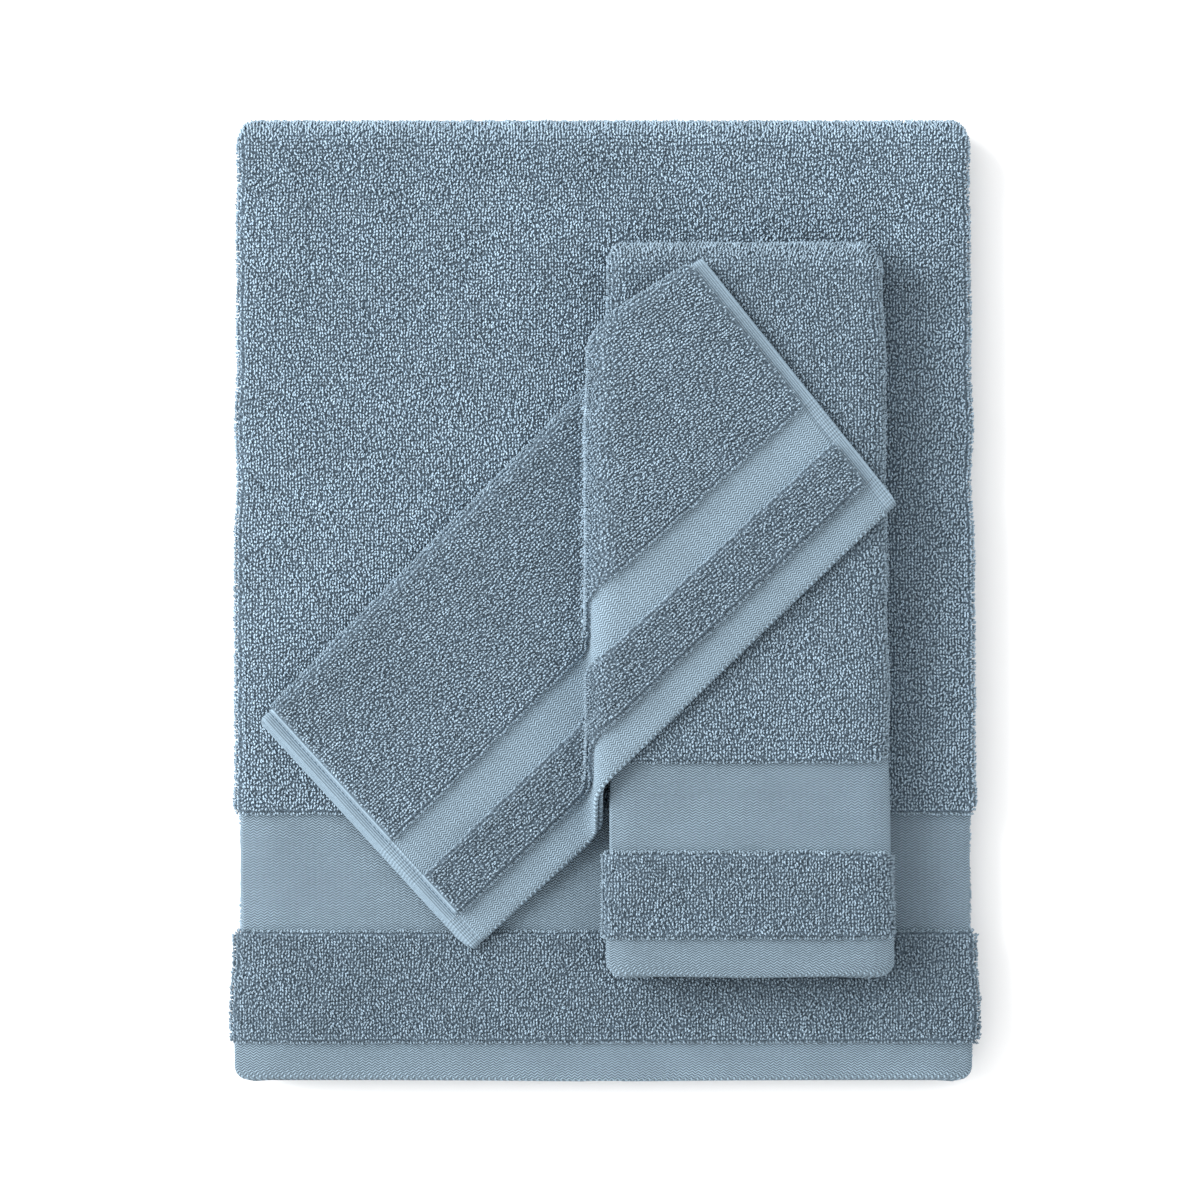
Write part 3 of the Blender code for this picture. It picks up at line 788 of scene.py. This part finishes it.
class Nodes:
    """A material's shader tree, written from left to right."""

    def __init__(self, name, roughness, sheen):
        self.material = bpy.data.materials.new(name)
        self.material.use_nodes = True
        self.tree = self.material.node_tree
        self.shader = self.tree.nodes["Principled BSDF"]
        self.shader.inputs["Roughness"].default_value = roughness
        self.shader.inputs["Specular IOR Level"].default_value = SPECULAR
        self.shader.inputs["Sheen Weight"].default_value = sheen
        self.shader.inputs["Sheen Roughness"].default_value = SHEEN_ROUGHNESS
        self.shader.inputs["Sheen Tint"].default_value = SHEEN_TINT
        self.object_place = self.add("ShaderNodeTexCoord").outputs["Object"]

    def add(self, kind, **settings):
        node = self.tree.nodes.new(kind)
        for key, value in settings.items():
            setattr(node, key, value)
        return node

    def plug(self, node, name, value):
        if isinstance(value, bpy.types.NodeSocket):
            self.tree.links.new(value, node.inputs[name])
        else:
            node.inputs[name].default_value = value

    def cloth_uv(self):
        return self.add("ShaderNodeUVMap", uv_map="cloth").outputs["UV"]

    def attribute(self, name):
        return self.add("ShaderNodeAttribute", attribute_name=name).outputs["Fac"]

    def math(self, operation, first, second=0.0, third=0.0):
        node = self.add("ShaderNodeMath", operation=operation)
        for k, value in enumerate((first, second, third)):
            self.plug(node, k, value)
        return node.outputs[0]

    def parts(self, vector):
        node = self.add("ShaderNodeSeparateXYZ")
        self.plug(node, "Vector", vector)
        return node.outputs["X"], node.outputs["Y"]

    def noise(self, vector, size, detail=2.0):
        """Noise of 0 to 1 whose features are about this many metres wide."""
        node = self.add("ShaderNodeTexNoise")
        self.plug(node, "Vector", vector)
        self.plug(node, "Scale", 1 / size)
        self.plug(node, "Detail", detail)
        return node.outputs["Fac"]

    def ramp(self, value, low_in, high_in, low_out, high_out):
        """The value carried from one range to another in a straight line, and held at its ends."""
        node = self.add("ShaderNodeMapRange")
        for name, number in zip(
            ("Value", "From Min", "From Max", "To Min", "To Max"),
            (value, low_in, high_in, low_out, high_out),
        ):
            self.plug(node, name, number)
        return node.outputs["Result"]

    def tint(self, colour, amount):
        """Plugs the colour times this amount into the shader."""
        node = self.add("ShaderNodeVectorMath", operation="SCALE")
        self.plug(node, "Vector", tuple(colour))
        self.plug(node, "Scale", amount)
        self.plug(self.shader, "Base Color", node.outputs["Vector"])

    def bump(self, height, distance):
        node = self.add("ShaderNodeBump")
        self.plug(node, "Height", height)
        self.plug(node, "Distance", distance)
        self.plug(self.shader, "Normal", node.outputs["Normal"])

    def cells(self, place, size):
        """Distance from the middle of a cell, 0 to about 1, of cells of this size."""
        node = self.add("ShaderNodeTexVoronoi")
        self.plug(node, "Vector", place)
        self.plug(node, "Scale", 1 / size)
        return node.outputs["Distance"]

    def drift(self):
        """Slow and fine unevenness of the dye, around 1."""
        slow = self.ramp(self.noise(self.object_place, 30 * MM), 0.3, 0.7, -0.06, 0.06)
        fine = self.ramp(self.noise(self.object_place, 1.6 * MM, 1.0), 0.3, 0.7, 0.93, 1.07)
        return self.math("ADD", slow, fine)


def yarn_material(name, colour):
    """Pile yarn with loose fibres: painted shade at the feet of a loop and painted light on its top."""
    nodes = Nodes(name, 0.95, 0.30)
    # Painted shade and light: 0.36 of the colour at a loop's feet, up to 1.03 on its top by the loop's tone
    shade = nodes.ramp(nodes.attribute("yarn_tone_and_painted_shade"), 0.0, 1.0, 0.36, 1.03)
    nodes.tint(colour, nodes.math("MULTIPLY", shade, nodes.drift()))
    nodes.bump(nodes.noise(nodes.object_place, 0.6 * MM, 1.0), 0.2 * MM)
    return nodes.material


def ground_material(name, colour):
    """The weave that the loops stand on, with the shorter loops between them as cells: painted shade at the
    cells' edges and painted light in their middles.
    """
    nodes = Nodes(name, 0.95, 0.0)
    # Painted shade and light of the cells: 0.5 of the colour at their edges, 1.35 in their middles; the same
    # values give their relief
    loops = nodes.ramp(nodes.cells(nodes.object_place, 1.2 * MM), 0.1, 0.75, 1.35, 0.5)
    nodes.tint(colour, nodes.math("MULTIPLY", loops, nodes.drift()))
    nodes.bump(loops, 0.8 * MM)
    return nodes.material


def looped_material(name, colour):
    """Terry seen only at an edge or from below: loops as cells of the cloth's own plane, with painted shade
    at their edges and painted light in their middles.
    """
    nodes = Nodes(name, 0.95, 0.30)
    # Painted shade and light of the cells: 0.45 of the colour at their edges, 1.1 in their middles; the same
    # values give their relief
    loops = nodes.ramp(nodes.cells(nodes.cloth_uv(), 1.9 * MM), 0.1, 0.75, 1.1, 0.45)
    nodes.tint(colour, nodes.math("MULTIPLY", loops, nodes.drift()))
    nodes.bump(loops, 1.2 * MM)
    return nodes.material


def flat_woven(nodes, colour, height, darkest, lightest, depth):
    """Gives a weave of this height its relief, and its colour: painted shade in its gaps and painted light on
    its raised threads, times the cloth's painted lightness.
    """
    light = nodes.ramp(height, 0.0, 1.0, darkest, lightest)
    light = nodes.math("MULTIPLY", light, nodes.attribute("cloth_painted_light"))
    nodes.tint(colour, nodes.math("MULTIPLY", light, nodes.drift()))
    nodes.bump(height, depth)
    return nodes.material


def weave_material(name, colour, along, across):
    """Zigzag twill: uneven rows of the pitch across, which swing up and down over the length along."""
    nodes = Nodes(name, 0.9, 0.35)
    x, y = nodes.parts(nodes.cloth_uv())
    swing = nodes.math("PINGPONG", nodes.math("DIVIDE", x, along), 0.5)
    run = nodes.math("MULTIPLY_ADD", swing, TWILL_SLOPE, nodes.math("DIVIDE", y, across))
    run = nodes.math("ADD", run, nodes.noise(nodes.object_place, TWILL_DRIFT))
    rows = nodes.math("SINE", nodes.math("MULTIPLY", run, 2 * math.pi))
    # Painted shade and light of the twill: 0.40 of the colour in its gaps, 1.56 on its rows
    return flat_woven(nodes, colour, nodes.math("MULTIPLY_ADD", rows, 0.5, 0.5), 0.40, 1.56, 0.8 * MM)


def ribbed_material(name, colour, across_depth, rib):
    """A turned and sewn edge: fine lines that run along it, crossed by ribs of this depth and pitch."""
    nodes = Nodes(name, 0.9, 0.35)
    x, y = nodes.parts(nodes.cloth_uv())
    lines = nodes.math("SINE", nodes.math("MULTIPLY", x, 2 * math.pi / LINE_PITCH))
    ribs = nodes.math("SINE", nodes.math("MULTIPLY", y, 2 * math.pi / rib))
    height = nodes.math("MULTIPLY_ADD", lines, 0.36, 0.5)
    height = nodes.math("MULTIPLY_ADD", ribs, across_depth, height)
    # Painted shade and light of the lines and ribs: 0.48 of the colour in the grooves, 1.16 on the ridges
    return flat_woven(nodes, colour, height, 0.48, 1.16, 0.5 * MM)


def thread_material(name, colour):
    """Sewing thread."""
    nodes = Nodes(name, 0.7, 0.05)
    nodes.tint(colour, nodes.drift())
    nodes.bump(nodes.noise(nodes.object_place, 0.4 * MM, 1.0), 0.1 * MM)
    return nodes.material


def cloth_materials():
    """The six finishes of a cloth sheet, in slot order, then the yarn of its loops and the thread."""
    colours = bpy.context.scene.towel_colours
    finishes = {
        "towel_ground": (ground_material, colours.ground),
        "towel_flat": (weave_material, colours.flat, 3.4 * MM, 1.35 * MM),
        "towel_hem": (weave_material, colours.hem, 3.2 * MM, 1.3 * MM),
        "towel_cells": (looped_material, colours.yarn),
        "towel_side_hem": (ribbed_material, colours.hem, 0.05, 0.9 * MM),
        "towel_ladder": (ribbed_material, colours.hem, 0.26, 1.9 * MM),
        "towel_yarn": (yarn_material, colours.yarn),
        "towel_thread": (thread_material, colours.thread),
    }
    made = bpy.data.materials
    return [made.get(name) or make(name, *settings) for name, (make, *settings) in finishes.items()]


# ---------------------------------------------------------------- cloths


# A sheet's grid: how far it is fine to each side of a change of weave, and the length of a ply's free end
ZONE_MARGIN = 2 * MM
FREE_END = 80 * MM
# How far stretches of loops overlap, and how far the hand towel's cover flap stops short of the fold
PILE_LAP = 1.5 * MM
COVER_FLAP_GAP = 2 * MM
# The washcloth: seed of its waves, width of its fine steps at both sides, how far its hem's seam lies beyond
# the band of loops, and how far the seams stop short of the edges
WASH_SEED = 37
FINE_SIDE = 9 * MM
HEM_SEAM_INSET = 1.8 * MM
SEAM_END = 1 * MM


def finish_sheet(obj):
    for material in cloth_materials()[:YARN]:
        obj.data.materials.append(material)


def finish_yarn(obj, thread=False):
    obj.data.materials.append(cloth_materials()[THREAD if thread else YARN])


def bath_towel_cloth():
    """Section: flap, side fold, face, side fold, flap. Path: top, back fold, base, front fold, inner."""
    shape = bpy.context.scene.towel_shape
    half = BATH_HALF - HALF_PLY - ROLL
    gap = low("bath_base_gate_ply_right", 0)
    section = (
        straight((-gap, -ROLL), (-half, -ROLL), (-gap / half, -1), (0, 0)),
        side_fold(-half, 0.0, ROLL, -1, 270, 90),
        straight((-half, ROLL), (half, ROLL), (-1, 1), (0, 0)),
        side_fold(half, 0.0, ROLL, 1, 90, -90),
        straight((half, -ROLL), (gap, -ROLL), (1, gap / half), (0, 0)),
    )
    back = BATH_BACK - HALF_PLY - ROLL - 2 * PLY_PITCH
    front = BATH_FOLD_FRONT + HALF_PLY + ROLL + PLY_PITCH
    outer_z, base_z, inner_z = 5 * PLY_PITCH, PLY_PITCH, 3 * PLY_PITCH
    path = (
        facing(straight((BATH_FRONT - HEM_OVERHANG, outer_z), (back, outer_z)), (0, 1)),
        cross_fold((back, (outer_z + base_z) / 2), 2 * PLY_PITCH, 90, -90),
        facing(straight((back, base_z), (front, base_z)), (0, -1)),
        cross_fold((front, (base_z + inner_z) / 2), PLY_PITCH, 270, 90),
        facing(straight((front, inner_z), (back - PLY_PITCH, inner_z)), (0, 1)),
    )

    def edges(y):
        back_share = np.clip((y - BATH_FRONT) / (BATH_BACK - BATH_FRONT), 0, 1)
        left = -BATH_HALF + shape.bath_left_drift * back_share
        return left, BATH_HALF - shape.bath_right_drift * back_share

    zones = (BATH_HEM, BATH_BAND, BATH_DOBBY)
    insets = MM * np.array(((1.0, 1.2), (-1.6, 1.2), (-1.4, -0.6), (3.6, 3.6)))
    # Painted light and shade of the bath towel: the lightness of its flat weave, then of its loops
    return FoldedTowel(section, (ROLL, ROLL), path, zones, edges, insets, 0.0, (0.98, 0.87), 11)


def side_fold(x, rise, radius, side, start, end):
    """A fold of the section: its points, then the side it stands at and how far it bulges."""
    points = arc((x, rise), radius, start, end)
    return np.hstack([points, np.full((len(points), 1), side), points[:, :1] - x])


def cross_fold(centre, radius, start, end):
    """A fold of the path: its points and their outward directions."""
    points = arc(centre, radius, start, end)
    return facing(points, (points - np.array(centre)) / radius)


def hand_towel_cloth():
    """Section: inner flap, side fold, face, wider side fold, cover flap. Path: top, back fold, underside."""
    shape = bpy.context.scene.towel_shape
    left = HAND_LEFT + HALF_PLY + ROLL
    right = HAND_RIGHT - HALF_PLY - 2 * ROLL
    half = (right - left) / 2
    near = -1 + COVER_FLAP_GAP / half
    section = (
        straight((half, 0), (-half, 0), (1, -1), (0, 0)),
        side_fold(-half, ROLL, ROLL, -1, 270, 90),
        straight((-half, 2 * ROLL), (half, 2 * ROLL), (-1, 1), (0, 0)),
        side_fold(half, 0.0, 2 * ROLL, 1, 90, -90),
        straight((half, -2 * ROLL), (near * half, -2 * ROLL), (1, near), (0, 0)),
    )
    back = HAND_BACK - HALF_PLY - 5 * ROLL
    upper_z, lower_z = BATH_TOP + 4.5 * PLY_PITCH, BATH_TOP + 1.5 * PLY_PITCH
    front = low("hand_lower_outer_ply", 1) + HEM_GROUND[0]
    path = (
        facing(straight((HAND_FRONT + HEM_GROUND[0], upper_z), (back, upper_z)), (0, 1)),
        cross_fold((back, (upper_z + lower_z) / 2), 3 * ROLL, 90, -90),
        facing(straight((back, lower_z), (front, lower_z)), (0, -1)),
    )

    def edges(y):
        back_share = np.clip((y - HAND_FRONT) / (HAND_BACK - HAND_FRONT), 0, 1)
        return HAND_LEFT + 0 * y, HAND_RIGHT - shape.hand_right_drift * back_share

    zones = (HAND_HEM, HAND_BAND, HAND_DOBBY)
    insets = MM * np.array(((-0.2, -3.2), (-1.4, -3.8), (-1.9, -1.9), (3.0, 1.0)))
    # Painted light and shade of the hand towel: its flat weave and its loops darker than the bath towel's
    return FoldedTowel(section, (ROLL, 2 * ROLL), path, zones, edges, insets, -1.0, (0.93, 0.63), 23)


def end_grid(towel):
    """Steps of v near the hem that shows, close together where the weave changes."""
    radius = bpy.context.scene.towel_shape.hem_corner_radius
    hem, band, dobby = towel.zones
    return [
        (0.0, radius, 9),
        (radius, hem - ZONE_MARGIN, 5),
        *((zone - ZONE_MARGIN, zone + ZONE_MARGIN, 9) for zone in towel.zones),
        (hem + ZONE_MARGIN, band - ZONE_MARGIN, 6),
        (band + ZONE_MARGIN, dobby - ZONE_MARGIN, 3),
    ]


def folded_grid(towel, coarse):
    """u and v of a folded towel's sheet: fine in folds and where the weave changes, coarse elsewhere."""
    u_ends, v_ends = towel.u_ends, towel.v_ends
    face = round((u_ends[2] - u_ends[1]) / coarse)
    u = refined(
        (0.0, u_ends[0], face // 4),
        (u_ends[0], u_ends[1], 10),
        (u_ends[1], u_ends[2], face),
        (u_ends[2], u_ends[3], 10),
        (u_ends[3], towel.width, face // 4),
    )
    marks = end_grid(towel)
    marks = marks + [(towel.length - end, towel.length - start, count) for start, end, count in marks]
    marks.append((towel.zones[2] + ZONE_MARGIN, v_ends[0], round(v_ends[0] / coarse)))
    marks.append((v_ends[0], v_ends[1], 14))
    marks.append((v_ends[1], v_ends[2] - FREE_END, 26))
    if len(v_ends) > 3:
        marks.append((v_ends[2] - FREE_END, v_ends[2], 5))
        marks.append((v_ends[2], v_ends[3], 12))
        marks.append((v_ends[3], v_ends[4] - FREE_END, 26))
    return u, refined(*marks)


def pile_spans(towel):
    """Where loops stand: the top and every fold that can be seen."""
    u_ends, v_ends = towel.u_ends, towel.v_ends
    # Painted light and shade of the loops: the cloth's lightness on the field and folds, the band's darker
    # one between hem and dobby band
    light = towel.painted_lightness[1]
    whole = (u_ends[0] - PILE_LAP, u_ends[3] + PILE_LAP)
    hem, band, dobby = towel.zones
    spans = [
        (whole, (hem - 0.2 * MM, band + 0.4 * MM), BAND_PAINTED_LIGHTNESS),
        (whole, (dobby - 0.3 * MM, v_ends[1]), light),
    ]
    left = (u_ends[0] - PILE_LAP, u_ends[1] + 2 * PILE_LAP)
    right = (u_ends[2] - 2 * PILE_LAP, u_ends[3] + PILE_LAP)
    if len(v_ends) > 3:
        spans.append((whole, (v_ends[2], v_ends[3]), light))
        under = [(v_ends[1], v_ends[2]), (v_ends[3], v_ends[4] - 5 * MM)]
    else:
        far = towel.length
        under = [(v_ends[1], far - dobby), (far - band, far - hem)]
    return spans + [(side, run, light) for side in (left, right) for run in under]


def make_folded(name, towel, coarse, body, seed):
    """A folded towel: its sheet and its loops, on their body."""
    sheet = cloth_sheet(name, towel, *folded_grid(towel, coarse))
    finish_sheet(sheet)
    pile = terry_pile(f"{name}_pile", towel, pile_spans(towel), seed)
    for piece in pile:
        finish_yarn(piece)
    for piece in [sheet, *pile]:
        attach(piece, body)
    return sheet


def cloth_nodes(prefix):
    """The rigid nodes that a sheet stands for: all of a towel's but its thread."""
    return [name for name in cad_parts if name.startswith(prefix) and not name.endswith("hem_thread")]


def bend_with_tail(obj):
    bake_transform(obj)


# ---------------------------------------------------------------- operators


class TOWELS_OT_bath(bpy.types.Operator):
    """Makes the bath towel: one sheet folded in six plies, with its loops"""

    bl_idname = "towels.bath"
    bl_label = "Bath towel"

    def execute(self, context):
        towel = bath_towel_cloth()
        sheet = make_folded("bath_towel_cloth", towel, 4.4 * MM, "bath_towel", 101)
        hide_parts(*cloth_nodes("bath_"))
        return {"FINISHED"}


class TOWELS_OT_hand(bpy.types.Operator):
    """Makes the hand towel: one sheet folded in six plies, with its loops"""

    bl_idname = "towels.hand"
    bl_label = "Hand towel"

    def execute(self, context):
        towel = hand_towel_cloth()
        sheet = make_folded("hand_towel_cloth", towel, 3.6 * MM, "hand_towel", 202)
        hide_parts(*cloth_nodes("hand_"))
        return {"FINISHED"}


class TOWELS_OT_wash(bpy.types.Operator):
    """Makes the washcloth: one sheet folded once and draped over the hand towel, with its loops"""

    bl_idname = "towels.wash"
    bl_label = "Washcloth"

    def execute(self, context):
        cloth = DrapedCloth(WASH_SEED)
        lower, fold = cloth.u_ends[:2]
        turns = [WASH_FIELD_SHARE, WASH_DOBBY_SHARE, WASH_BAND_SHARE]
        marks = [fold + share * WASH_WIDTH - HALF_PLY - ROLL for share in turns]
        u = refined(
            (0.0, lower, 24),
            (lower, fold, 12),
            (fold, cloth.width, 44),
            *((mark - ZONE_MARGIN, mark + ZONE_MARGIN, 9) for mark in marks),
        )
        far = cloth.length - FINE_SIDE
        v = refined((0.0, FINE_SIDE, 22), (FINE_SIDE, far, 140), (far, cloth.length, 22))
        sheet = cloth_sheet("washcloth_cloth", cloth, u, v)
        finish_sheet(sheet)
        length = (SIDE_STRIP + GAP, cloth.length - SIDE_STRIP - GAP)
        # The washcloth's loops: its own painted lightness on the field, the band's darker painted shade
        spans = [
            ((lower - 2 * MM, marks[0] - 0.2 * MM), length, cloth.painted_lightness[1]),
            ((marks[1] + 0.2 * MM, marks[2] - 0.2 * MM), length, BAND_PAINTED_LIGHTNESS),
        ]
        pile = terry_pile("washcloth_pile", cloth, spans, 303)
        for piece in pile:
            finish_yarn(piece)
        for piece in [sheet, *pile]:
            bend_with_tail(piece)
        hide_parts(*cloth_nodes("wash_"))
        return {"FINISHED"}


class TOWELS_OT_stitches(bpy.types.Operator):
    """Sews the hems of all three cloths"""

    bl_idname = "towels.stitches"
    bl_label = "Hem stitches"

    def execute(self, context):
        for name, towel, front in (
            ("bath", bath_towel_cloth(), BATH_FRONT),
            ("hand", hand_towel_cloth(), HAND_FRONT),
        ):
            thread = f"{name}_hem_thread"
            v = (low(thread, 1) + high(thread, 1)) / 2 - front
            seam = stitches(f"{name}_hem_stitches", towel, [((towel.u_ends[0], v), (towel.u_ends[3], v))])
            finish_yarn(seam, thread=True)
            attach(seam, f"{name}_towel")
            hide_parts(thread)
        cloth = DrapedCloth(WASH_SEED)
        fold = cloth.u_ends[1]
        hem = fold + (WASH_BAND_SHARE * WASH_WIDTH - HALF_PLY - ROLL) + HEM_SEAM_INSET
        near, far, end = SEAM_END, cloth.length - SEAM_END, cloth.width - SEAM_END
        runs = [((hem, near), (hem, far))]
        for side in (SIDE_HEM, cloth.length - SIDE_HEM):
            runs.append(((fold, side), (end, side)))
        seam = stitches("washcloth_stitches", cloth, runs)
        finish_yarn(seam, thread=True)
        bend_with_tail(seam)
        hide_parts("wash_tail_hem_thread", "wash_top_hem_thread")
        return {"FINISHED"}


FLOOR_HALF = 6.0
KEY_STRENGTH = 4.8
KEY_ANGLE = math.radians(46)
KEY_FROM = Vector((-0.78, 0.29, 0.50))
SKY_STRENGTH = 1.3
LENS = 600
CAMERA_PLACE = (-3.1 * MM, -0.3 * MM, 0.045 + 10.26)


class TOWELS_OT_stage(bpy.types.Operator):
    """Sets the floor, the light and the camera"""

    bl_idname = "towels.stage"
    bl_label = "Stage"

    def execute(self, context):
        scene = context.scene
        corners = np.array([[-1, -1, 0], [1, -1, 0], [1, 1, 0], [-1, 1, 0]]) * FLOOR_HALF
        floor = mesh_object("floor", corners, np.array([[0, 1, 2, 3]]), NO_TRIANGLES)
        nodes = Nodes("studio_floor", 0.9, 0.0)
        grain = nodes.ramp(nodes.noise(nodes.object_place, 0.3), 0.3, 0.7, 0.99, 1.0)
        nodes.tint(scene.towel_colours.floor, grain)
        floor.data.materials.append(nodes.material)
        key = bpy.data.lights.new("key", "SUN")
        key.energy = KEY_STRENGTH
        key.angle = KEY_ANGLE
        key_object = bpy.data.objects.new("key", key)
        key_object.rotation_euler = KEY_FROM.to_track_quat("Z", "Y").to_euler()
        world = bpy.data.worlds.new("studio")
        world.use_nodes = True
        background = world.node_tree.nodes["Background"]
        background.inputs["Color"].default_value = (1.0, 1.0, 1.0, 1.0)
        background.inputs["Strength"].default_value = SKY_STRENGTH
        scene.world = world
        lens = bpy.data.cameras.new("camera")
        lens.lens = LENS
        lens.sensor_width = 36
        lens.clip_end = 100
        camera = bpy.data.objects.new("camera", lens)
        camera.location = CAMERA_PLACE
        for obj in (key_object, camera):
            scene.collection.objects.link(obj)
        scene.camera = camera
        scene.view_settings.view_transform = "Standard"
        return {"FINISHED"}


# ---------------------------------------------------------------- panel


class TOWELS_PT_panel(bpy.types.Panel):
    """The towels' settings and their operators."""

    bl_idname = "TOWELS_PT_panel"
    bl_label = "Bath towel set"
    bl_space_type = "VIEW_3D"
    bl_region_type = "UI"
    bl_category = "Towels"

    def draw(self, context):
        for group in (context.scene.towel_shape, context.scene.towel_pile, context.scene.towel_colours):
            box = self.layout.box()
            for name in group.__annotations__:
                box.prop(group, name)
        for operator in OPERATORS:
            self.layout.operator(operator.bl_idname)


OPERATORS = (TOWELS_OT_stage, TOWELS_OT_bath, TOWELS_OT_hand, TOWELS_OT_wash, TOWELS_OT_stitches)
GROUPS = {"towel_shape": TowelShape, "towel_pile": TowelPile, "towel_colours": TowelColours}


def register():
    for name, group in GROUPS.items():
        bpy.utils.register_class(group)
        setattr(bpy.types.Scene, name, bpy.props.PointerProperty(type=group))
    for operator in OPERATORS:
        bpy.utils.register_class(operator)
    bpy.utils.register_class(TOWELS_PT_panel)


def unregister():
    bpy.utils.unregister_class(TOWELS_PT_panel)
    for operator in reversed(OPERATORS):
        bpy.utils.unregister_class(operator)
    for name, group in reversed(GROUPS.items()):
        delattr(bpy.types.Scene, name)
        bpy.utils.unregister_class(group)


def main():
    register()
    bpy.ops.towels.stage()
    bpy.ops.towels.bath()
    bpy.ops.towels.hand()
    bpy.ops.towels.wash()
    bpy.ops.towels.stitches()


if __name__ == "__main__":
    main()
